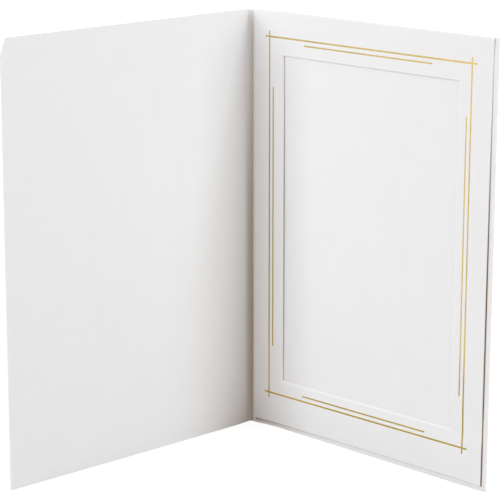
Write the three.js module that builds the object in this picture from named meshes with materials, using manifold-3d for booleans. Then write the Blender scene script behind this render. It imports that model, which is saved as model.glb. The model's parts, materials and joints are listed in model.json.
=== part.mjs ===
// A white card photo folder for one upright print, standing open on its lower edges.
// Millimetres, +Z up. The back panel runs along +X and is seen from -Y.
// The front cover swings about the spine, which is a narrow strip between two creases.

import * as THREE from 'three';
import { mergeVertices } from 'three/addons/utils/BufferGeometryUtils.js';
import Module from 'manifold-3d';

const wasm = await Module();
wasm.setup();

// The print that the pocket takes, and its free play between the back and the frame
const printWidth = 101.6;
const printHeight = 152.4;
const printThickness = 0.25;
const printSlip = 0.1;

// The card, and the spine between its two crease lines
const cardThickness = 0.5;
const spineWidth = 2.15;
const creaseClearance = 0.1;
const openingAngle = THREE.MathUtils.degToRad(91);

// The window hides the print's rim by the two overlaps, and has a pressed bevel round it
const windowSideOverlap = 3.2;
const windowEndOverlap = 4.75;
const bevelWidth = 1.2;
const bevelDepth = 0.3;

// The frame's rims round the window, the top one up to the fold's upper edge
const rimSide = 17.2;
const rimTop = 18.2;
const rimBottom = 20.75;

// What shows of the back panel round the frame: at the crease, the pocket's mouth and the foot
const flapSpineInset = 1.9;
const flapMouthLip = 1.85;
const flapBottomLip = 2.3;

// The trimmed corner at the top of the cover's free edge, which eases into that edge
const trimAlong = 2.5;
const trimDown = 7;
const trimTurnAlongShare = 0.08;
const trimTurnDownShare = 0.79;

// The two glue lines that close the pocket and stop the print behind the window
const glueWidth = 6;
const printStopGap = 0.5;
const glueEndInset = 4;

// The stamped gold rules, placed by their centre lines: the outer four from the window's
// edges, the inner four from the outer ones, and all moved a little off the middle
const foilThickness = 0.03;
const ruleWidth = 0.6;
const outerRuleSideMargin = 7.5;
const outerRuleEndMargin = 7.3;
const outerRuleOverrun = 2.5;
const innerRuleInset = 2.2;
const innerUprightSetback = 21.45;
const innerLevelSetback = 20.1;
const foilShiftSpineward = 0.65;
const foilShiftUp = 0.4;

// How far a cutting block runs past the face that it opens
const cutOverrun = 1;

// Sides of the rounded creases and of the top fold
const creaseSteps = 8;
const foldSteps = 12;

// The panels' outer size, worked out from the print outward
const windowWidth = printWidth - 2 * windowSideOverlap;
const windowHeight = printHeight - 2 * windowEndOverlap;
const panelWidth = flapSpineInset + windowWidth + 2 * rimSide + flapMouthLip;
const panelHeight = flapBottomLip + rimBottom + windowHeight + rimTop;

// The card's faces, the pocket's gap and the fold that spans it
const halfCard = cardThickness / 2;
const creaseReach = halfCard + creaseClearance;
const pocketGap = printThickness + printSlip;
const foldInnerRadius = pocketGap / 2;
const foldOuterRadius = foldInnerRadius + cardThickness;
const foldLine = panelHeight - foldOuterRadius;

// The frame flap's edges and faces, and the middles of the window and of the rules
const flapBack = -halfCard - pocketGap;
const flapFront = flapBack - cardThickness;
const flapLeft = flapSpineInset;
const flapRight = panelWidth - flapMouthLip;
const windowMiddleX = flapLeft + rimSide + windowWidth / 2;
const windowMiddleZ = flapBottomLip + rimBottom + windowHeight / 2;
const outerRuleSpan = windowWidth + 2 * outerRuleSideMargin;
const outerRuleRise = windowHeight + 2 * outerRuleEndMargin;
const foilMiddleX = windowMiddleX - foilShiftSpineward;
const foilMiddleZ = windowMiddleZ + foilShiftUp;

// The turn at each crease, which is half of what the folder lacks of lying flat
const creaseTurn = (Math.PI - openingAngle) / 2;

const card = new THREE.MeshStandardMaterial({ color: 0xf3f2ef, roughness: 0.8 });
const glue = new THREE.MeshStandardMaterial({ color: 0xd9d4c3, roughness: 0.5 });
const gold = new THREE.MeshStandardMaterial({ color: 0xb98a2e, roughness: 0.3, metalness: 1 });

// A mesh with a name and a material
function piece(name, geometry, material) {
  const mesh = new THREE.Mesh(geometry, material);
  mesh.name = name;
  return mesh;
}

// A closed geometry as a solid that can be cut and joined
function solidOf(geometry) {
  geometry.deleteAttribute('normal');
  geometry.deleteAttribute('uv');
  const merged = mergeVertices(geometry);
  const vertProperties = new Float32Array(merged.attributes.position.array);
  const triVerts = new Uint32Array(merged.index.array);
  return new wasm.Manifold(new wasm.Mesh({ numProp: 3, vertProperties, triVerts }));
}

// A solid as a geometry that a mesh can show
function geometryOf(solid) {
  const { vertProperties, triVerts } = solid.getMesh();
  const geometry = new THREE.BufferGeometry();
  geometry.setAttribute('position', new THREE.BufferAttribute(vertProperties, 3));
  geometry.setIndex(new THREE.BufferAttribute(triVerts, 1));
  geometry.computeVertexNormals();
  return geometry;
}

// A block between two corners
function blockBetween(lowX, highX, lowY, highY, lowZ, highZ) {
  const block = new THREE.BoxGeometry(highX - lowX, highY - lowY, highZ - lowZ);
  return block.translate((lowX + highX) / 2, (lowY + highY) / 2, (lowZ + highZ) / 2);
}

// A sheet with an outline drawn in X and Z, between two values of Y
function sheetFrom(outline, lowY, highY) {
  const sheet = new THREE.ExtrudeGeometry(outline, { depth: highY - lowY, bevelEnabled: false });
  sheet.rotateX(Math.PI / 2);
  return sheet.translate(0, highY, 0);
}

// The cover: a plain panel that runs along +X from its crease, with one trimmed corner
function makeFrontCover() {
  const outline = new THREE.Shape();
  outline.moveTo(creaseReach, 0);
  outline.lineTo(panelWidth, 0);
  outline.lineTo(panelWidth, panelHeight - trimDown);
  outline.quadraticCurveTo(
    panelWidth - trimAlong * trimTurnAlongShare,
    panelHeight - trimDown * trimTurnDownShare,
    panelWidth - trimAlong,
    panelHeight,
  );
  outline.lineTo(creaseReach, panelHeight);
  outline.closePath();
  return piece('front_cover', sheetFrom(outline, -halfCard, halfCard), card);
}

// The spine strip: from one crease line to the other, with both long edges rounded on them
function makeSpineStrip() {
  const section = new THREE.Shape();
  section.absarc(0, 0, halfCard, Math.PI / 2, 3 * Math.PI / 2);
  section.absarc(spineWidth, 0, halfCard, -Math.PI / 2, Math.PI / 2);
  section.closePath();
  const extrusion = { depth: panelHeight, bevelEnabled: false, curveSegments: creaseSteps };
  return piece('spine_strip', new THREE.ExtrudeGeometry(section, extrusion), card);
}

// The back panel: full height beside the flap, and lower where the flap's fold leaves it
function makeBackPanel() {
  const outline = new THREE.Shape();
  outline.moveTo(creaseReach, 0);
  outline.lineTo(panelWidth, 0);
  outline.lineTo(panelWidth, panelHeight);
  outline.lineTo(flapRight, panelHeight);
  outline.lineTo(flapRight, foldLine);
  outline.lineTo(flapLeft, foldLine);
  outline.lineTo(flapLeft, panelHeight);
  outline.lineTo(creaseReach, panelHeight);
  outline.closePath();
  return piece('back_panel', sheetFrom(outline, -halfCard, halfCard), card);
}

// The top fold: the card bent through half a turn, from the back panel over to the flap
function makeTopFold() {
  const section = new THREE.Shape();
  section.absarc(0, 0, foldOuterRadius, 0, Math.PI);
  section.absarc(0, 0, foldInnerRadius, Math.PI, 0, true);
  section.closePath();
  const extrusion = { depth: flapRight - flapLeft, bevelEnabled: false, curveSegments: foldSteps };
  const fold = new THREE.ExtrudeGeometry(section, extrusion);
  fold.rotateX(Math.PI / 2);
  fold.rotateZ(Math.PI / 2);
  fold.translate(flapLeft, (flapBack - halfCard) / 2, foldLine);
  return piece('top_fold', fold, card);
}

// The block that cuts the window's bevel: it flares toward the flap's front face
function makeBevelCutter() {
  const depth = bevelDepth + cutOverrun;
  const flare = bevelWidth * depth / bevelDepth;
  const cutter = new THREE.BoxGeometry(windowWidth, depth, windowHeight);
  const corners = cutter.attributes.position;
  for (let i = 0; i < corners.count; i += 1) {
    if (corners.getY(i) < 0) {
      corners.setX(i, corners.getX(i) + Math.sign(corners.getX(i)) * flare);
      corners.setZ(i, corners.getZ(i) + Math.sign(corners.getZ(i)) * flare);
    }
  }
  return cutter.translate(windowMiddleX, flapFront + bevelDepth - depth / 2, windowMiddleZ);
}

// The frame flap: a sheet in front of the back panel, with the window and its bevelled rim
function makeFrameFlap() {
  const sheet = blockBetween(flapLeft, flapRight, flapFront, flapBack, flapBottomLip, foldLine);
  const opening = blockBetween(
    windowMiddleX - windowWidth / 2,
    windowMiddleX + windowWidth / 2,
    flapFront - cutOverrun,
    flapBack + cutOverrun,
    windowMiddleZ - windowHeight / 2,
    windowMiddleZ + windowHeight / 2,
  );
  const cutters = solidOf(opening).add(solidOf(makeBevelCutter()));
  return piece('frame_flap', geometryOf(solidOf(sheet).subtract(cutters)), card);
}

// The glue lines fill the pocket's gap beside the print and under it
function makeGlueLines() {
  const printLeft = windowMiddleX - printWidth / 2;
  const printBottom = windowMiddleZ - printHeight / 2;
  const sideRight = printLeft - printStopGap;
  const sideLeft = sideRight - glueWidth;
  const lowerTop = printBottom - printStopGap;
  const lowerBottom = lowerTop - glueWidth;
  const upperEnd = foldLine - glueEndInset;
  const mouthEnd = flapRight - glueEndInset;
  const side = blockBetween(sideLeft, sideRight, flapBack, -halfCard, lowerTop, upperEnd);
  const lower = blockBetween(sideLeft, mouthEnd, flapBack, -halfCard, lowerBottom, lowerTop);
  return [piece('side_glue_line', side, glue), piece('bottom_glue_line', lower, glue)];
}

// A gold rule on the flap's front face, given by its middle and its two extents
function ruleAt(middleX, middleZ, width, height) {
  return blockBetween(
    middleX - width / 2,
    middleX + width / 2,
    flapFront - foilThickness,
    flapFront,
    middleZ - height / 2,
    middleZ + height / 2,
  );
}

// The outer rules: four that cross at the corners and run a little past each other
function makeOuterRules() {
  const upright = outerRuleRise + 2 * outerRuleOverrun;
  const level = outerRuleSpan + 2 * outerRuleOverrun;
  const rules = [];
  for (const side of [-1, 1]) {
    const x = foilMiddleX + side * outerRuleSpan / 2;
    const z = foilMiddleZ + side * outerRuleRise / 2;
    rules.push(solidOf(ruleAt(x, foilMiddleZ, ruleWidth, upright)));
    rules.push(solidOf(ruleAt(foilMiddleX, z, level, ruleWidth)));
  }
  const joined = rules.reduce((whole, rule) => whole.add(rule));
  return piece('foil_outer_rules', geometryOf(joined), gold);
}

// The inner rules: a shorter one inside each outer rule, with open corners between them
function makeInnerRules() {
  const reachX = outerRuleSpan / 2 - innerRuleInset;
  const reachZ = outerRuleRise / 2 - innerRuleInset;
  const upright = outerRuleRise - 2 * innerUprightSetback;
  const level = outerRuleSpan - 2 * innerLevelSetback;
  const places = {
    foil_inner_rule_spine_side: ruleAt(foilMiddleX - reachX, foilMiddleZ, ruleWidth, upright),
    foil_inner_rule_mouth_side: ruleAt(foilMiddleX + reachX, foilMiddleZ, ruleWidth, upright),
    foil_inner_rule_top: ruleAt(foilMiddleX, foilMiddleZ + reachZ, level, ruleWidth),
    foil_inner_rule_bottom: ruleAt(foilMiddleX, foilMiddleZ - reachZ, level, ruleWidth),
  };
  return Object.entries(places).map(([name, geometry]) => piece(name, geometry, gold));
}

// The cover hangs on the spine strip's far crease, and the strip on the back panel's crease
const coverSide = new THREE.Group();
coverSide.add(makeFrontCover());
coverSide.position.x = spineWidth;
coverSide.rotation.z = creaseTurn;

const spineSide = new THREE.Group();
spineSide.add(makeSpineStrip(), coverSide);
spineSide.rotation.z = Math.PI + creaseTurn;

const folder = new THREE.Group();
folder.add(makeBackPanel(), makeTopFold(), makeFrameFlap(), ...makeGlueLines());
folder.add(makeOuterRules(), ...makeInnerRules(), spineSide);

// The origin lies on the ground, in the middle of the space that the folder stands on
const space = new THREE.Box3().setFromObject(folder, true);
const middle = space.getCenter(new THREE.Vector3());
folder.position.set(-middle.x, -middle.y, 0);

export default folder;
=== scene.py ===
# A white card photo folder that stands open on its lower edges. One sheet makes the cover,
# the spine and the back, and is folded over at the top into the frame round the window.

import json
import math

import bmesh
import bpy
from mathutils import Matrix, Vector


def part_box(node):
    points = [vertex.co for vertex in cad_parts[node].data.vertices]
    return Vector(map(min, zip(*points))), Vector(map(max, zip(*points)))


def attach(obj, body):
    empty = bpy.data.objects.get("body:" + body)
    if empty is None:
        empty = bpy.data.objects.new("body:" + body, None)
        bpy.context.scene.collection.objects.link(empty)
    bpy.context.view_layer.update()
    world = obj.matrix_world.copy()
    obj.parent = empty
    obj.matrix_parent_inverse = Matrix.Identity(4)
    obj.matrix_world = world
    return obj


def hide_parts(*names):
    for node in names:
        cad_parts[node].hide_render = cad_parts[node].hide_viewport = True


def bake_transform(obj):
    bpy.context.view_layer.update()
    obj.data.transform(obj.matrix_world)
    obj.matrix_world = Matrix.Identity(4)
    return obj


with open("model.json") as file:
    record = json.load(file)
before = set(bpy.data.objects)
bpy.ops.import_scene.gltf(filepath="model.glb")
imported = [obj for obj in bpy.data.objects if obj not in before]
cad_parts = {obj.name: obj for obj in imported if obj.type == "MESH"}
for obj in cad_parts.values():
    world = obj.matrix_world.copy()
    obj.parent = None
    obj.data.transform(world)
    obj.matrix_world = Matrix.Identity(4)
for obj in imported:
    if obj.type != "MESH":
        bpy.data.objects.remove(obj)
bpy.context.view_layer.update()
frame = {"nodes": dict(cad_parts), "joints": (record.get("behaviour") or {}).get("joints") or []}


# The camera looks into the opening from a little above the folder, along the line that
# halves it. A long lens keeps the upright edges nearly parallel.
camera_place = Vector((0.60503, -0.60062, 0.30281))
camera_azimuth = math.radians(45.161)
camera_elevation = math.radians(13.35)
camera_lens = 159.71
camera_film_width = 36

camera_data = bpy.data.cameras.new("camera")
camera_data.sensor_width = camera_film_width
camera_data.lens = camera_lens
camera = bpy.data.objects.new("camera", camera_data)
camera_aim = Vector((
    -math.sin(camera_azimuth) * math.cos(camera_elevation),
    math.cos(camera_azimuth) * math.cos(camera_elevation),
    -math.sin(camera_elevation),
))
camera.location = camera_place
camera.rotation_mode = "QUATERNION"
camera.rotation_quaternion = camera_aim.to_track_quat("-Z", "Y")
bpy.context.scene.collection.objects.link(camera)
bpy.context.scene.camera = camera
bpy.context.scene.view_settings.view_transform = "Standard"


# The folder stands on a wide sheet of white studio paper. The camera sees the paper as
# white, but for the folder's own shadow, and the card gets back only a plain share of light.
floor_reach = 6
floor_drop = 0.0001
floor_bounce = 0.55
floor_white = 0.9
floor_shadow_share = 0.16


def grey(share):
    """A plain grey, as a node takes it."""
    return share, share, share, 1


def seen_directly(tree):
    """One where a ray comes from the camera, or from gloss or glass that shows the room."""
    path = tree.nodes.new("ShaderNodeLightPath")
    seen = path.outputs["Is Camera Ray"]
    for kind in ("Is Glossy Ray", "Is Transmission Ray"):
        either = tree.nodes.new("ShaderNodeMath")
        either.operation = "MAXIMUM"
        tree.links.new(seen, either.inputs[0])
        tree.links.new(path.outputs[kind], either.inputs[1])
        seen = either.outputs["Value"]
    return seen


floor_paper = bpy.data.materials.new("studio_paper")
floor_paper.use_nodes = True
tree = floor_paper.node_tree
tree.nodes.clear()
bounced = tree.nodes.new("ShaderNodeBsdfDiffuse")
bounced.inputs["Color"].default_value = grey(floor_bounce)
shadowed = tree.nodes.new("ShaderNodeBsdfDiffuse")
shadowed.inputs["Color"].default_value = grey(floor_shadow_share)
white = tree.nodes.new("ShaderNodeEmission")
white.inputs["Strength"].default_value = floor_white
with_shadow = tree.nodes.new("ShaderNodeAddShader")
tree.links.new(white.outputs["Emission"], with_shadow.inputs[0])
tree.links.new(shadowed.outputs["BSDF"], with_shadow.inputs[1])
by_ray = tree.nodes.new("ShaderNodeMixShader")
tree.links.new(seen_directly(tree), by_ray.inputs["Fac"])
tree.links.new(bounced.outputs["BSDF"], by_ray.inputs[1])
tree.links.new(with_shadow.outputs["Shader"], by_ray.inputs[2])
surface = tree.nodes.new("ShaderNodeOutputMaterial")
tree.links.new(by_ray.outputs["Shader"], surface.inputs["Surface"])

floor_mesh = bpy.data.meshes.new("studio_floor")
floor_mesh.from_pydata(
    [(x, y, -floor_drop) for x, y in
     ((-floor_reach, -floor_reach), (floor_reach, -floor_reach),
      (floor_reach, floor_reach), (-floor_reach, floor_reach))],
    [], [(0, 1, 2, 3)])
floor_mesh.materials.append(floor_paper)
floor = bpy.data.objects.new("studio_floor", floor_mesh)
bpy.context.scene.collection.objects.link(floor)


# Softboxes stand to the left and the right, almost in line with the two panels, so that each
# panel shades the other toward the spine. One behind lights the outside, and the pale room
# fills the rest with a warmer light.
room_fill = 0.76
room_tint = (1.0, 0.93, 0.905)
lamp_aim = Vector((0, 0, 0.09))
lamp_distance = 1.5

world = bpy.data.worlds.new("studio_room")
world.use_nodes = True
bpy.context.scene.world = world
tree = world.node_tree
tree.nodes.clear()
fill = tree.nodes.new("ShaderNodeBackground")
fill.inputs["Color"].default_value = (*room_tint, 1)
fill.inputs["Strength"].default_value = room_fill
backdrop = tree.nodes.new("ShaderNodeBackground")
backdrop.inputs["Color"].default_value = grey(1)
backdrop.inputs["Strength"].default_value = 1
by_ray = tree.nodes.new("ShaderNodeMixShader")
tree.links.new(seen_directly(tree), by_ray.inputs["Fac"])
tree.links.new(fill.outputs["Background"], by_ray.inputs[1])
tree.links.new(backdrop.outputs["Background"], by_ray.inputs[2])
surface = tree.nodes.new("ShaderNodeOutputWorld")
tree.links.new(by_ray.outputs["Shader"], surface.inputs["Surface"])


def softbox(name, azimuth, elevation, size, watts, tint=(1, 1, 1)):
    """A square soft lamp that points at the middle of the folder.

    Azimuth 0 is in front of the back panel.
    """
    lamp = bpy.data.lights.new(name, "AREA")
    lamp.shape = "SQUARE"
    lamp.size = size
    lamp.energy = watts
    lamp.color = tint
    a, e = math.radians(azimuth), math.radians(elevation)
    out = Vector((math.sin(a) * math.cos(e), -math.cos(a) * math.cos(e), math.sin(e)))
    stand = bpy.data.objects.new(name, lamp)
    stand.location = lamp_aim + out * lamp_distance
    stand.rotation_mode = "QUATERNION"
    stand.rotation_quaternion = (-out).to_track_quat("-Z", "Y")
    bpy.context.scene.collection.objects.link(stand)


softbox("lamp_left", -12, 12, size=0.3, watts=7.1, tint=(0.9, 0.94, 1.0))
softbox("lamp_left_high", -15, 42, size=0.3, watts=2.2, tint=(0.72, 0.9, 1.0))
softbox("lamp_right", 100, 12, size=0.3, watts=3.9)
softbox("lamp_right_high", 105, 42, size=0.3, watts=5.0, tint=(0.7, 0.88, 1.0))
softbox("lamp_behind", 225, 15, size=0.6, watts=8.0)


# The spine is the narrow strip of card between the two creases. It is part of the one sheet,
# die-cut from smooth uncoated white card with a fine felt grain, and nothing is glued to it.
mm = 0.001
card_thickness = 0.5 * mm
half_card = card_thickness / 2
cut_rounding = 0.09 * mm
smooth_angle = math.radians(50)
opening_angle = math.radians(91)

folds = {joint["name"]: Vector(joint["pos_m"]) for joint in frame["joints"]}
back_fold, cover_fold = folds["back_crease"], folds["cover_crease"]
strip_width = (cover_fold - back_fold).length
sheet_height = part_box("spine_strip")[1].z
back_run = Vector((-1, 0, 0))
strip_run = (cover_fold - back_fold).normalized()
cover_run = Vector((math.cos(opening_angle), -math.sin(opening_angle), 0))
crease_reach = 0.5 * mm


def sheet_line(s):
    """The middle of the card and its direction.

    s runs along the sheet from the back's crease toward the cover.
    """
    for fold, before, after, place in (
            (back_fold, back_run, strip_run, s),
            (cover_fold, strip_run, cover_run, s - strip_width)):
        if abs(place) < crease_reach:
            k = (place / crease_reach + 1) / 2
            point = fold - before * crease_reach * (1 - k) ** 2 + after * crease_reach * k ** 2
            return point, (before * (1 - k) + after * k).normalized()
    if s < 0:
        return back_fold + back_run * s, back_run
    if s < strip_width:
        return back_fold + strip_run * s, strip_run
    return cover_fold + cover_run * (s - strip_width), cover_run


def clamped(share):
    """A share kept between nought and one."""
    return min(max(share, 0), 1)


def eased(share):
    """A share that leaves nought and reaches one gently."""
    share = clamped(share)
    return share * share * (3 - 2 * share)


def eased_between(place, start, full):
    """The eased share of the way from start to full."""
    return eased((place - start) / (full - start))


def part_way(start, end, share):
    """The value at this share of the way between two."""
    return start + (end - start) * share


panel_width = 133.35 * mm
back_lean_height = 1.39 * mm
gutter_depth = 0.55 * mm
gutter_depth_head = 0.12 * mm
gutter_head_start = 150 * mm
cover_bow_height = 0.7 * mm
cover_bow_start = 0.6 * mm
cover_bow_length = 5 * mm
cover_bow_length_head = 20 * mm
cover_bow_head_start = 110 * mm
cover_fall = 1.0 * mm
cover_fall_top = 0.62 * mm


def bowed(s, z):
    """How far the sheet stands off its flat place, toward the inside.

    The cover rises from its crease in a low bow, the spine sinks in a shallow gutter, and
    the back leans away at the top of its free side.
    """
    if s < 0:
        return -back_lean_height * (s / panel_width) ** 2 * z / sheet_height
    if s < strip_width:
        depth = part_way(
            gutter_depth, gutter_depth_head, eased_between(z, gutter_head_start, sheet_height))
        return -depth * math.sin(math.pi * s / strip_width) ** 2
    along = s - strip_width
    length = part_way(
        cover_bow_length, cover_bow_length_head,
        eased_between(z, cover_bow_head_start, sheet_height))
    rise = cover_bow_height * (1 - math.exp(-along ** 2 / (along + cover_bow_start) / length))
    fall = part_way(cover_fall, cover_fall_top, z / sheet_height)
    return rise - fall * (along / panel_width) ** 2


def rounded_off(gap):
    """How far a face falls at this distance from a cut edge."""
    if gap >= cut_rounding:
        return 0
    return cut_rounding - math.sqrt(max(cut_rounding ** 2 - (cut_rounding - gap) ** 2, 0))


score_depth = 0.2 * mm
score_width = 0.24 * mm


def sheet_point(s, z, side, edges=()):
    """A point of the inner (side 1) or outer (side -1) face.

    The face is rounded off near the cut edges, and the inner one is pressed in at the scores.
    """
    point, run = sheet_line(s)
    inward = Vector((-run.y, run.x, 0))
    fall = max(
        rounded_off(z), rounded_off(sheet_height - z), *[rounded_off(abs(s - e)) for e in edges])
    if side > 0:
        nearest = min(abs(s), abs(s - strip_width))
        fall += score_depth * math.exp(-(nearest / score_width) ** 2)
    point = point + inward * (side * (half_card - fall) + bowed(s, z))
    return Vector((point.x, point.y, z))


cut_lines = (0, 0.3 * cut_rounding, cut_rounding, 2.5 * cut_rounding)
closest_lines = 0.25


def stations(low, high, step, cut_low=True, cut_high=True, also=()):
    """Places for a mesh's lines between two ends.

    They stand close together at a cut edge, so that it rounds cleanly. Those in also are
    kept as they are, and an even line that would fall too near to one is left out.
    """
    places = {low, high, *also}
    start = cut_lines[-1] if cut_low else 0
    stop = cut_lines[-1] if cut_high else 0
    if cut_low:
        places.update(low + line for line in cut_lines)
    if cut_high:
        places.update(high - line for line in cut_lines)
    count = max(1, round((high - stop - low - start) / step))
    for i in range(count + 1):
        place = low + start + (high - stop - low - start) * i / count
        if all(abs(place - kept) > closest_lines * step for kept in also):
            places.add(place)
    return sorted(places)


# Each side of a cell: the way to the cell beyond it, and the side's two corners.
cell_sides = (
    ((0, -1), (0, 0), (1, 0)), ((1, 0), (1, 0), (1, 1)),
    ((0, 1), (1, 1), (0, 1)), ((-1, 0), (0, 1), (0, 0)))


def card_piece(name, across, up, face, cut_faces=True, kept=lambda u, v: True, crush_and_shade=None):
    """A closed piece of card over a grid of places.

    face(u, v, side) gives its inner and outer face, and every open edge of the cells that
    are kept is closed by the card's cut. The toning function, given (u, v, side), says how
    much the face is darkened: partly by crushed fibres at the scores, and mostly by painted
    shade in the creases, gaps and corners.
    """
    mesh = bpy.data.meshes.new(name)
    bm = bmesh.new()
    toned = bm.verts.layers.float.new("crush_and_shade")
    corners = {}

    def corner(i, j, side):
        if (i, j, side) not in corners:
            made = bm.verts.new(face(across[i], up[j], side))
            made[toned] = crush_and_shade(across[i], up[j], side) if crush_and_shade else 0
            corners[i, j, side] = made
        return corners[i, j, side]

    cells = {(i, j) for i in range(len(across) - 1) for j in range(len(up) - 1)
             if kept((across[i] + across[i + 1]) / 2, (up[j] + up[j + 1]) / 2)}
    for i, j in sorted(cells):
        for side in (1, -1):
            ring = [corner(i, j, side), corner(i + 1, j, side),
                    corner(i + 1, j + 1, side), corner(i, j + 1, side)]
            bm.faces.new(ring if side < 0 else ring[::-1])
        for (di, dj), a, b in cell_sides:
            if (i + di, j + dj) not in cells:
                a, b = (i + a[0], j + a[1]), (i + b[0], j + b[1])
                cut = bm.faces.new([corner(*a, 1), corner(*b, 1), corner(*b, -1), corner(*a, -1)])
                cut.material_index = 1 if cut_faces else 0
    bmesh.ops.recalc_face_normals(bm, faces=bm.faces)
    for each in bm.faces:
        each.smooth = True
    bm.to_mesh(mesh)
    bm.free()
    mesh.set_sharp_from_angle(angle=smooth_angle)
    piece = bpy.data.objects.new(name, mesh)
    bpy.context.scene.collection.objects.link(piece)
    return piece


def finished(piece, *finishes):
    """Gives a piece its finishes. The first is on its faces and the second on its cuts."""
    for finish in finishes:
        piece.data.materials.append(finish)


# The grain's sizes are in millimetres.
grain = bpy.data.node_groups.new("card_grain", "ShaderNodeTree")
for socket, value in (("Fibre Size", 0.45), ("Fibre Stretch", 1.6), ("Cloud Size", 9.0)):
    made = grain.interface.new_socket(
        name=socket, in_out="INPUT", socket_type="NodeSocketFloat")
    made.default_value = value
for socket in ("Tone", "Relief"):
    grain.interface.new_socket(name=socket, in_out="OUTPUT", socket_type="NodeSocketFloat")
fibre_share = 0.45
cloud_share = 0.55


def joined(tree, kind, operation=None, **ends):
    """A new node.

    Each of ends is a socket by its name or its number, given a value or another node's output.
    """
    made = tree.nodes.new(kind)
    if operation:
        made.operation = operation
    for name, end in ends.items():
        numbered = name[0] == "_" and name[1:].isdigit()
        socket = made.inputs[int(name[1:]) if numbered else name.replace("_", " ")]
        if isinstance(end, bpy.types.NodeSocket):
            tree.links.new(end, socket)
        else:
            socket.default_value = end
    return made


def counted(tree, operation, a, b):
    """One number worked out from two."""
    return joined(tree, "ShaderNodeMath", operation, _0=a, _1=b).outputs["Value"]


asked = grain.nodes.new("NodeGroupInput").outputs
given = grain.nodes.new("NodeGroupOutput")
where = grain.nodes.new("ShaderNodeTexCoord").outputs["Object"]
in_mm = joined(grain, "ShaderNodeVectorMath", "SCALE", _0=where, Scale=1 / mm).outputs["Vector"]
stretch = joined(
    grain, "ShaderNodeCombineXYZ",
    X=1.0, Y=1.0, Z=counted(grain, "DIVIDE", 1.0, asked["Fibre Stretch"])).outputs["Vector"]
fibre_place = joined(
    grain, "ShaderNodeVectorMath", "MULTIPLY", _0=in_mm, _1=stretch).outputs["Vector"]
fibres = joined(
    grain, "ShaderNodeTexNoise", Vector=fibre_place,
    Scale=counted(grain, "DIVIDE", 1.0, asked["Fibre Size"]), Detail=3.0, Roughness=0.6)
clouds = joined(
    grain, "ShaderNodeTexNoise", Vector=in_mm,
    Scale=counted(grain, "DIVIDE", 1.0, asked["Cloud Size"]), Detail=3.0, Roughness=0.55)
fibre_tone = counted(grain, "MULTIPLY", fibres.outputs[0], fibre_share)
cloud_tone = counted(grain, "MULTIPLY", clouds.outputs[0], cloud_share)
grain.links.new(counted(grain, "ADD", cloud_tone, fibre_tone), given.inputs["Tone"])
grain.links.new(fibres.outputs[0], given.inputs["Relief"])

# The scores' tone is partly crushed fibres and mostly painted shade in the creases.
back_score_tone = 0.5
back_score_fade = 0.06 * mm
cover_score_tone = 0.3
cover_score_fade = 1.7 * mm
cover_score_head_free = 15 * mm
cover_score_deepens = 77 * mm
lower_shade = 0.9
foot_shade_ease = -0.5
foot_shade_ease_reach = 25 * mm
head_fade = 13 * mm
# A painted shade on the cover, low down beside the spine.
cover_low_shade = 0.15
cover_low_top = 110 * mm
cover_low_start = 3 * mm
cover_low_reach = 14 * mm
cover_foot_shade = 0.14
cover_foot_reach = 6 * mm


def score_tone_and_shade(s, z, side):
    """How much the scores are toned: partly crushed fibres, mostly painted shade.

    The back's score is the deeper one. The tone is painted darker lower down, a little less at
    the very foot, and none at the head, where more light reaches. A painted shade also lies on
    the cover beside its score, low down near the spine.
    """
    if side < 0:
        return 0
    # The tone is painted darker lower down, less at the very foot, and none at the head.
    shade_gain = 1 + lower_shade * (1 - z / sheet_height) + foot_shade_ease * math.exp(-z / foot_shade_ease_reach)
    shade_gain *= eased((sheet_height - z) / head_fade)
    if s < 0:
        return shade_gain * back_score_tone * math.exp(-(s / back_score_fade) ** 2)
    at_cover = cover_score_tone * eased(
        (sheet_height - z - cover_score_head_free) / cover_score_deepens)
    if s <= strip_width:
        return shade_gain * part_way(back_score_tone, at_cover, s / strip_width)
    along = s - strip_width
    # Painted shade on the cover, low down beside the spine.
    low = cover_low_shade * eased((cover_low_top - z) / cover_low_top)
    low += cover_foot_shade * math.exp(-z / cover_foot_reach)
    low *= eased(along / cover_low_start) * math.exp(-(along / cover_low_reach) ** 2)
    return low + shade_gain * at_cover * math.exp(-(along / cover_score_fade) ** 2)


def mixed(tree, share, a, b, blend="MIX"):
    """Two colours mixed. Each is a plain colour or another node's output."""
    made = tree.nodes.new("ShaderNodeMix")
    made.data_type = "RGBA"
    made.blend_type = blend
    tree.links.new(share, made.inputs["Factor"])
    for socket, colour in (("A", a), ("B", b)):
        if isinstance(colour, bpy.types.NodeSocket):
            tree.links.new(colour, made.inputs[socket])
        else:
            made.inputs[socket].default_value = (*colour, 1)
    return made.outputs["Result"]


def grained_finish(name, relief, **sizes):
    """A new finish with the grain's relief.

    It gives back the material, its node tree, its shader and its own grain, which sizes set.
    """
    material = bpy.data.materials.new(name)
    material.use_nodes = True
    tree = material.node_tree
    surface = tree.nodes["Principled BSDF"]
    felt = tree.nodes.new("ShaderNodeGroup")
    felt.node_tree = grain
    for size, value in sizes.items():
        felt.inputs[size.replace("_", " ")].default_value = value
    bump = joined(
        tree, "ShaderNodeBump", Strength=1.0, Distance=relief, Height=felt.outputs["Relief"])
    tree.links.new(bump.outputs["Normal"], surface.inputs["Normal"])
    return material, tree, surface, felt


def roughened(tree, surface, felt, smoothest, roughest):
    """Lets the grain's relief make a surface smoother in one place and rougher in another."""
    roughness = joined(
        tree, "ShaderNodeMapRange", Value=felt.outputs["Relief"],
        To_Min=smoothest, To_Max=roughest)
    tree.links.new(roughness.outputs["Result"], surface.inputs["Roughness"])


# The colour the tone darkens toward: partly crushed fibres at the scores, mostly painted shade.
crush_and_shade_tone = (0.38, 0.27, 0.13)
card_rough_spread = 0.06
card_specular = 0.3


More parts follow.
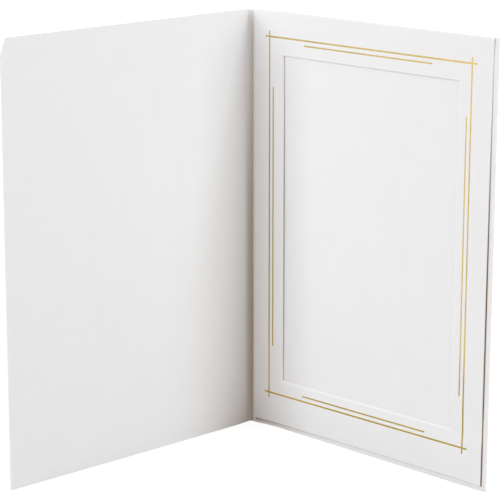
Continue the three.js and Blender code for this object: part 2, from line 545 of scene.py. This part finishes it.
def card_finish(name, low, high, relief, rough=0.82):
    """A card finish: two close whites that the grain mixes.

    The mesh's tone darkens them: partly crushed fibres at the scores, mostly painted shade.
    """
    material, tree, surface, felt = grained_finish(name, relief)
    whites = mixed(tree, felt.outputs["Tone"], low, high)
    crush_and_shade = tree.nodes.new("ShaderNodeAttribute")
    crush_and_shade.attribute_name = "crush_and_shade"
    toned = mixed(tree, crush_and_shade.outputs["Fac"], whites, crush_and_shade_tone, "MULTIPLY")
    tree.links.new(toned, surface.inputs["Base Color"])
    roughened(tree, surface, felt, rough - card_rough_spread, rough + card_rough_spread)
    surface.inputs["Specular IOR Level"].default_value = card_specular
    return material


white_card = card_finish(
    "white_card", (0.83, 0.82, 0.805), (0.88, 0.875, 0.865), relief=0.02 * mm)
cut_card = card_finish(
    "cut_card", (0.80, 0.79, 0.77), (0.9, 0.895, 0.885), relief=0.04 * mm, rough=0.9)

upright_step = 8 * mm
strip_step = 0.1 * mm
strip_edge = 0.7 * mm
upright = stations(
    0, sheet_height, upright_step, also=[sheet_height - head_fade * i / 4 for i in range(1, 5)])
# The strip takes the scores' tone: partly crushed fibres, mostly painted shade in the gutter.
spine = card_piece(
    "spine_card",
    stations(strip_edge, strip_width - strip_edge, strip_step, cut_low=False, cut_high=False),
    upright, sheet_point, crush_and_shade=score_tone_and_shade)
finished(spine, white_card, cut_card)
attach(spine, "spine")
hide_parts("spine_strip")


# The two creases are scored lines where the same card bends: one between the spine and the
# back, one between the spine and the cover. Each reaches a little way into its panel.
crease_panel_reach = 1.2 * mm
crease_step = 0.07 * mm

# The creases take the same tone of crushed fibres and painted shade.
back_crease = card_piece(
    "back_crease_card",
    stations(-crease_panel_reach, strip_edge, crease_step, cut_low=False, cut_high=False),
    upright, sheet_point, crush_and_shade=score_tone_and_shade)
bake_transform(back_crease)
cover_crease = card_piece(
    "cover_crease_card",
    stations(strip_width - strip_edge, strip_width + crease_panel_reach, crease_step,
             cut_low=False, cut_high=False),
    upright, sheet_point, crush_and_shade=score_tone_and_shade)
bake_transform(cover_crease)
for crease in (back_crease, cover_crease):
    finished(crease, white_card, cut_card)


# The back panel carries the pocket. Its card runs on over the top into the fold, so between
# the fold's two ends it stops at the line where the bend begins.
back_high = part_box("back_panel")[1]
fold_low, fold_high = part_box("top_fold")
back_end = -(back_high.x - back_fold.x)
fold_start = -(fold_low.x - back_fold.x)
fold_end = -(fold_high.x - back_fold.x)
fold_line = fold_low.z
frame_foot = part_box("frame_flap")[0].z

tone_step = 0.01 * mm
# A painted shade in the pocket's mouth, under the frame's free edge.
mouth_tone_start = fold_end + 0.2 * mm
mouth_tone_end = mouth_tone_start + 1.6 * mm
mouth_tone_top = 150 * mm
mouth_tone_deepens = 60 * mm
# A painted shadow line under the frame's foot, and a painted shade below it, deepest at the spine.
foot_shadow = 0.34
foot_shadow_at_spine = 0.57
foot_shadow_width = 0.45 * mm
foot_shade_reach = 20 * mm
foot_shade_end = frame_foot - 1.9 * mm


def mouth_shade(z):
    """How much painted shade the pocket's mouth takes at this height.

    It is nought high up and full lower down.
    """
    return clamped((mouth_tone_top - z) / mouth_tone_deepens)


def shade_at_pocket(s, z, side):
    """How much painted shade the back takes about the pocket.

    It is a painted shade under the frame's free edge, a fine painted shadow line at the
    frame's foot, and below that line a painted shade that is deepest at the spine. Elsewhere
    it is the scores' tone.
    """
    if side < 0:
        return 0
    if mouth_tone_start <= s <= mouth_tone_end and z >= frame_foot:
        return mouth_shade(z)
    if fold_end <= s <= fold_start and z <= frame_foot:
        near_spine = math.exp((s - fold_start) / foot_shade_reach)
        if z >= frame_foot - foot_shadow_width:
            return foot_shadow + foot_shadow_at_spine * near_spine
        return near_spine * clamped((z - foot_shade_end) / (frame_foot - foot_shade_end))
    return score_tone_and_shade(s, z, side)


head_rise = 0.6 * mm
head_rise_start = 177.2 * mm
head_rise_reach = 20 * mm
foot_hollow = 0.65 * mm
foot_hollow_start = 14 * mm
foot_hollow_end = 120 * mm
foot_hollow_reach = 9.5 * mm


def as_cut(s, z):
    """Where a place of the back or the frame really lies up the sheet.

    The head is folded a little high past the spine, and the foot is cut a little hollow.
    """
    head = head_rise * eased(-s / head_rise_reach) * eased_between(z, head_rise_start, sheet_height)
    foot = foot_hollow * eased(-s / foot_hollow_start) * max(1 + s / foot_hollow_end, 0)
    return z + head + foot * (1 - eased(z / foot_hollow_reach))


window_middle_x, window_middle_z = 66.7, 94.5
window_width, window_height = 95.2, 142.9
window_low = mm * Vector((
    window_middle_x - window_width / 2, 0, window_middle_z - window_height / 2))
window_high = mm * Vector((
    window_middle_x + window_width / 2, 0, window_middle_z + window_height / 2))
window_low.x += back_fold.x
window_high.x += back_fold.x
window_sink = 0.2 * mm
window_sink_reach = 12 * mm
side_glue_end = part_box("side_glue_line")[1].x


def beside_window(x, z):
    """How strongly the frame and the back part at the window's spine side.

    The pocket is fullest there.
    """
    up_window = clamped((z - window_low.z) / (window_high.z - window_low.z))
    parted = 4 * up_window * (1 - up_window) * eased_between(x, side_glue_end, window_low.x)
    return parted * eased((window_low.x + window_sink_reach - x) / window_sink_reach)


def back_face(s, z, side):
    """A point of the back panel."""
    point = sheet_point(s, z, side, edges=(back_end,))
    return Vector((
        point.x, point.y + window_sink * beside_window(point.x, z), as_cut(s, z)))


panel_step = 12 * mm
crease_lines = [-crease_panel_reach * 1.4 ** i for i in range(1, 5)]
window_lines = [back_fold.x - window_low.x + step * mm for step in (-9, -6, -3, 0, 2)]
mouth_lines = [mouth_tone_start - tone_step, mouth_tone_start,
               mouth_tone_end, mouth_tone_end + tone_step]
foot_lines = [foot_shade_end, frame_foot - foot_shadow_width - tone_step,
              frame_foot - foot_shadow_width, frame_foot, frame_foot + tone_step]
glue_lines = [frame_foot + step * mm for step in (2, 4, 6)]
head_lines = [head_rise_start + step * mm for step in (0, 2, 4)]
# The back takes painted shade at the pocket's mouth and foot, and the scores' tone by its crease.
back = card_piece(
    "back_card",
    stations(back_end, -crease_panel_reach, panel_step, cut_high=False,
             also=(fold_end, fold_start, *mouth_lines, *crease_lines, *window_lines)),
    stations(0, sheet_height, panel_step, also=(
        fold_line, *foot_lines, *glue_lines, *head_lines)),
    back_face, kept=lambda s, z: z < fold_line or not fold_end < s < fold_start,
    crush_and_shade=shade_at_pocket)
finished(back, white_card, cut_card)
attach(back, "back")
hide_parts("back_panel")


# Two lines of clear-drying paper glue hold the frame to the back: one beside the spine and
# one along the foot. They close the pocket, which the print enters from its open side.
glue_thin = (0.62, 0.58, 0.47)
glue_thick = (0.78, 0.75, 0.66)
glue_roughness = 0.38

dried_glue, tree, surface, felt = grained_finish(
    "dried_glue", 0.05 * mm, Fibre_Size=1.4, Cloud_Size=4)
tree.links.new(
    mixed(tree, felt.outputs["Tone"], glue_thin, glue_thick), surface.inputs["Base Color"])
surface.inputs["Roughness"].default_value = glue_roughness
for line in ("side_glue_line", "bottom_glue_line"):
    frame["nodes"][line].data.materials.clear()
    frame["nodes"][line].data.materials.append(dried_glue)


# The frame is the same card folded over the back's top edge. Its window is die-cut, with a
# bevel pressed round it, and its free side beside the pocket's mouth springs open a little.
flap_low, flap_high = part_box("frame_flap")
flap_middle = (flap_low.y + flap_high.y) / 2
foot_glue_low, foot_glue_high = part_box("bottom_glue_line")
fold_stiff_reach = 6 * mm
fold_hold_reach = 30 * mm
glue_stiff_reach = 8 * mm
mouth_spring = 0.15 * mm
mouth_spring_reach = 15 * mm
mouth_press = 0.32 * mm
mouth_press_start = 120 * mm
mouth_press_full = 176 * mm
foot_press = 0.28 * mm
sill_press = 0.24 * mm
sill_press_reach = 12 * mm
head_press = 0.26 * mm
head_press_start = 118 * mm
head_press_full = 150 * mm
head_press_width = 14 * mm
window_lift = 0.1 * mm


def sprung(x, z):
    """How far the frame stands off its flat place, toward the inside.

    It follows the back. Its free side springs open below the fold that holds it, and closes
    again toward the head. Past the glue, its foot and the window's sill and head lie down on
    the back, and the window's spine side lifts a little.
    """
    from_mouth = flap_high.x - x
    from_fold = fold_line - z
    past_glue = eased((x - side_glue_end) / glue_stiff_reach)
    past_fold = eased(from_fold / fold_stiff_reach)
    opened = mouth_spring * eased(from_fold / fold_hold_reach)
    closed = mouth_press * eased_between(z, mouth_press_start, mouth_press_full) * past_fold
    mouth = (opened - closed) * max(0, 1 - from_mouth / mouth_spring_reach) ** 2
    foot = 1 - eased_between(z, flap_low.z, foot_glue_low.z)
    foot *= foot_press * eased(from_mouth / mouth_spring_reach)
    sill = eased_between(z, foot_glue_high.z, window_low.z)
    sill *= sill_press * eased(1 - (z - window_low.z) / sill_press_reach) * past_glue
    head = eased_between(z, head_press_start, head_press_full) * past_fold * past_glue
    head *= head_press * eased((window_low.x + head_press_width - x) / head_press_width)
    lift = window_lift * beside_window(x, z)
    return mouth + lift - foot - sill - head + bowed(back_fold.x - x, z)


bevel_width = 1.3 * mm
bevel_foot_width = 1.05 * mm
bevel_head_width = 0.45 * mm
bevel_depth = 0.44 * mm
bevel_shoulder = 0.2


def bevel_fall(x, z):
    """How deep the frame's front is pressed at this place beside the window."""
    beside = max((window_low.x - x) / bevel_width, (x - window_high.x) / bevel_width,
                 (window_low.z - z) / bevel_foot_width, (z - window_high.z) / bevel_head_width)
    slope = math.hypot(clamped(1 - beside), bevel_shoulder) - bevel_shoulder
    return bevel_depth * slope / (math.hypot(1, bevel_shoulder) - bevel_shoulder)


fold_centre = (back_fold.y + flap_middle) / 2
fold_radius = (back_fold.y - flap_middle) / 2
fold_steps = 12
fold_places = 1000
mouth_draw = 0.35 * mm
mouth_draw_reach = 8 * mm


def frame_face(x, place, side):
    """A point of the frame.

    Places up to nought run up its front to the fold. Those above nought run round the fold,
    and the last of fold_places meets the back.
    """
    fall = max(rounded_off(x - flap_low.x), rounded_off(flap_high.x - x))
    s = back_fold.x - x
    if place > 0:
        turn = math.pi * (1 - place / fold_places)
        out = Vector((0, math.cos(turn), math.sin(turn)))
        centre = Vector((x, fold_centre - bowed(s, fold_line), as_cut(s, fold_line)))
        return centre + out * (fold_radius - side * (half_card - fall))
    z = fold_line + place
    fall = max(fall, rounded_off(z - flap_low.z))
    if side < 0:
        fall = max(fall, bevel_fall(x, z))
    drawn = mouth_draw * eased((fold_line - z) / mouth_draw_reach)
    drawn *= max(0, 1 - (flap_high.x - x) / mouth_draw_reach)
    return Vector((
        x - drawn, flap_middle - sprung(x, z) + side * (half_card - fall), as_cut(s, z)))


# A painted shade on the frame's cut at the mouth, as in the gap beside it.
mouth_cut_shade = 0.5


def shade_at_mouth_cut(x, place, side):
    """How much painted shade the cut of the frame's free side takes."""
    if place > 0 or flap_high.x - x >= tone_step:
        return 0
    return mouth_cut_shade * mouth_shade(fold_line + place)


def round_window(x, place):
    """Whether a place belongs to the frame, and not to the window cut in it."""
    across = window_low.x < x < window_high.x
    return not (across and window_low.z < fold_line + place < window_high.z)


front_step = 0.6 * panel_step
bevel_lines = [0, 0.25, 0.5, 0.75, 0.9, 1, 1.2]
side_glue_lines = [part_way(side_glue_end, window_low.x - bevel_width, i / 4) for i in range(4)]
foot_glue_lines = [
    part_way(foot_glue_high.z, window_low.z - bevel_width, i / 4) for i in range(4)]
frame_across = sorted({
    *stations(flap_low.x, flap_high.x, panel_step,
              also=[window_low.x - line * bevel_width for line in bevel_lines]
              + [window_high.x + line * bevel_width for line in bevel_lines]),
    *[flap_high.x - mouth_spring_reach * i / 8 for i in range(1, 9)], *side_glue_lines})
front_up = sorted({
    *stations(flap_low.z, fold_line, front_step, cut_high=False,
              also=[window_low.z - line * bevel_foot_width for line in bevel_lines]
              + [window_high.z + line * bevel_head_width for line in bevel_lines]),
    *[part_way(flap_low.z, foot_glue_low.z, i / 8) for i in range(1, 9)], *foot_glue_lines,
    *[window_low.z + sill_press_reach * i / 6 for i in range(1, 7)], head_rise_start})
fold_round = [fold_places * (i + 1) / fold_steps for i in range(fold_steps)]
# The frame's cut at the mouth takes a painted shade.
frame_card = card_piece(
    "frame_card", frame_across, [z - fold_line for z in front_up] + fold_round,
    frame_face, kept=round_window, crush_and_shade=shade_at_mouth_cut)

# The bevel at the foot of the window is pressed smoother than the rest. Its lighter whites
# are a painted highlight, where it catches the light.
bevel_highlight_card = card_finish(
    "bevel_highlight_card", (0.86, 0.855, 0.845), (0.91, 0.905, 0.895), relief=0.012 * mm, rough=0.7)
finished(frame_card, white_card, cut_card, bevel_highlight_card)
for face in frame_card.data.polygons:
    below = (window_low.z - face.center.z) / bevel_foot_width
    beside = max(window_low.x - face.center.x, face.center.x - window_high.x) / bevel_width
    in_front = face.normal.y < -0.5
    if in_front and max(0, beside) < below < 1:
        face.material_index = 2
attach(frame_card, "back")
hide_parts("frame_flap", "top_fold")


# Gold rules are stamped round the window with hot foil: four outer ones that cross at the
# corners, and a shorter inner one along each side. The foil takes the grain of the card. Its
# colour is painted paler at the head and beside the mouth, warmer at the foot by the spine and
# deepest at the foot below the mouth: a painted reflection of the lighter and darker room.
outer_low, outer_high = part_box("foil_outer_rules")
overrun = 2.5 * mm
rule_width = 0.68 * mm
foil_rise = 0.03 * mm
foil_sink = 0.01 * mm
foil_smoothest, foil_roughest = 0.28, 0.5
# These golds, and the places where they lie, paint the foil's reflection of the room.
gold_plain = (0.48, 0.36, 0.002)
gold_painted_warm = (0.68, 0.39, 0.002)
gold_painted_pale = (0.63, 0.465, 0.15)
gold_painted_dark = (0.38, 0.25, 0.002)
gold_grain = 0.4
pale_start = outer_low.x + overrun
pale_end = pale_start + 40 * mm
pale_head_start, pale_head_end = 120 * mm, 165 * mm
deep_foot_start, deep_foot_end = 58 * mm, 30 * mm
lowest_start, lowest_end = 24 * mm, 20 * mm
lowest_pale = 0.3

gold_foil, tree, surface, felt = grained_finish(
    "gold_foil", 0.02 * mm, Fibre_Size=0.25, Cloud_Size=5)
roughened(tree, surface, felt, foil_smoothest, foil_roughest)
foil_place = joined(
    tree, "ShaderNodeSeparateXYZ",
    Vector=tree.nodes.new("ShaderNodeTexCoord").outputs["Object"]).outputs


def ramp(value, start, end, low=0.0, high=1.0):
    """A value that runs from low to high as another runs from start to end."""
    return joined(
        tree, "ShaderNodeMapRange", Value=value, From_Min=start, From_Max=end,
        To_Min=low, To_Max=high).outputs["Result"]


def share_of(operation, a, b):
    """A share of the foil made from two others, kept between nought and one."""
    made = joined(tree, "ShaderNodeMath", operation, _0=a, _1=b)
    made.use_clamp = True
    return made.outputs["Value"]


# Painted reflection: paler at the head and by the mouth, darker at the foot.
to_mouth = ramp(foil_place["X"], pale_start, pale_end)
at_head = ramp(foil_place["Z"], pale_head_start, pale_head_end)
at_foot = ramp(foil_place["Z"], deep_foot_start, deep_foot_end)
lowest = ramp(foil_place["Z"], lowest_start, lowest_end, high=lowest_pale)
foot_by_mouth = share_of("MULTIPLY", to_mouth, at_foot)
foot_by_spine = share_of("SUBTRACT", at_foot, foot_by_mouth)
head_or_mouth = share_of("ADD", share_of("SUBTRACT", to_mouth, at_foot), at_head)
painted_gold = mixed(tree, foot_by_spine, gold_plain, gold_painted_warm)
painted_gold = mixed(tree, share_of("ADD", head_or_mouth, lowest), painted_gold, gold_painted_pale)
painted_gold = mixed(tree, share_of("SUBTRACT", foot_by_mouth, lowest), painted_gold, gold_painted_dark)
glint = ramp(felt.outputs["Tone"], 0.0, 1.0, 1 - gold_grain, 1 + gold_grain)
painted_gold = joined(tree, "ShaderNodeVectorMath", "SCALE", _0=painted_gold, Scale=glint)
tree.links.new(painted_gold.outputs["Vector"], surface.inputs["Base Color"])
surface.inputs["Metallic"].default_value = 1


def rule_face(x, z, side):
    """A point of a foil rule, which lies on the frame's front face."""
    front = flap_low.y - sprung(x, z)
    return Vector((x, front + (foil_sink if side > 0 else -foil_rise), z))


def rule_edges(middle):
    """The two edges of a rule whose middle line is here."""
    return middle - rule_width / 2, middle + rule_width / 2


outer_columns = [rule_edges(outer_low.x + overrun), rule_edges(outer_high.x - overrun)]
outer_rows = [rule_edges(outer_low.z + overrun), rule_edges(outer_high.z - overrun)]


def on_outer_rule(x, z):
    """Whether a place is on one of the four outer rules."""
    return any(a < x < b for a, b in outer_columns) or any(a < z < b for a, b in outer_rows)


lines_apart = 0.05 * mm


def rule_stations(low, high, frame_lines, crossings=()):
    """The ends of a rule, the edges of the rules that cross it, and the frame's own lines."""
    ends = [low, high, *[edge for pair in crossings for edge in pair]]
    return sorted(ends + [
        line for line in frame_lines
        if low < line < high and all(abs(line - end) > lines_apart for end in ends)])


gold_rules = [card_piece(
    "gold_outer_rules",
    rule_stations(outer_low.x, outer_high.x, frame_across, outer_columns),
    rule_stations(outer_low.z, outer_high.z, front_up, outer_rows),
    rule_face, cut_faces=False, kept=on_outer_rule)]
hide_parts("foil_outer_rules")
for side in ("spine_side", "mouth_side", "top", "bottom"):
    low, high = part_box("foil_inner_rule_" + side)
    rule = card_piece(
        "gold_inner_rule_" + side,
        rule_stations(low.x, high.x, frame_across), rule_stations(low.z, high.z, front_up),
        rule_face, cut_faces=False)
    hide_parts("foil_inner_rule_" + side)
    gold_rules.append(rule)
for rule in gold_rules:
    finished(rule, gold_foil)
    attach(rule, "back")


# The front cover is the other half of the sheet. It is plain on both faces, and one corner
# at the top of its free edge is trimmed with a long easy curve.
cover_end = strip_width + panel_width
cover_head_rise = 0.3 * mm
trim_along = 2.5 * mm
trim_down = 7 * mm
trim_turn_along_share = 0.08
trim_turn_down_share = 0.79
trim_shift_reach = 12 * mm


def trimmed(z):
    """How much of the cover's width the trimmed corner takes at this height."""
    below = sheet_height - z
    if below >= trim_down:
        return 0
    bend = 1 - 2 * trim_turn_down_share
    slope = 2 * (1 - trim_turn_down_share)
    root = math.sqrt(slope ** 2 - 4 * bend * (1 - below / trim_down))
    share = (root - slope) / (-2 * bend)
    return trim_along * (2 * share * (1 - share) * trim_turn_along_share + share ** 2)


def cover_face(s, z, side):
    """A point of the cover. Its last stretch is drawn in where the corner is trimmed."""
    drawn = trimmed(z) * clamped((s - (cover_end - trim_shift_reach)) / trim_shift_reach)
    point = sheet_point(s - drawn, z, side, edges=(cover_end - trimmed(z),))
    head = eased_between(z, head_rise_start, sheet_height)
    point.z += cover_head_rise * eased((s - strip_width) / head_rise_reach) * head
    return point


bow_lines = [strip_width + crease_panel_reach * 1.3 ** i for i in range(1, 11)]
cover_foot_lines = [cover_foot_reach * i / 2 for i in range(1, 4)]
trim_lines = [sheet_height - trim_down * i / 10 for i in range(1, 11)]
# The cover's inner face takes the scores' tone and a painted shade low beside the spine.
cover = card_piece(
    "cover_card",
    stations(strip_width + crease_panel_reach, cover_end, panel_step,
             cut_low=False, also=bow_lines),
    stations(0, sheet_height, panel_step, also=cover_foot_lines + trim_lines),
    cover_face, crush_and_shade=score_tone_and_shade)
finished(cover, white_card, cut_card)
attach(cover, "cover")
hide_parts("front_cover")
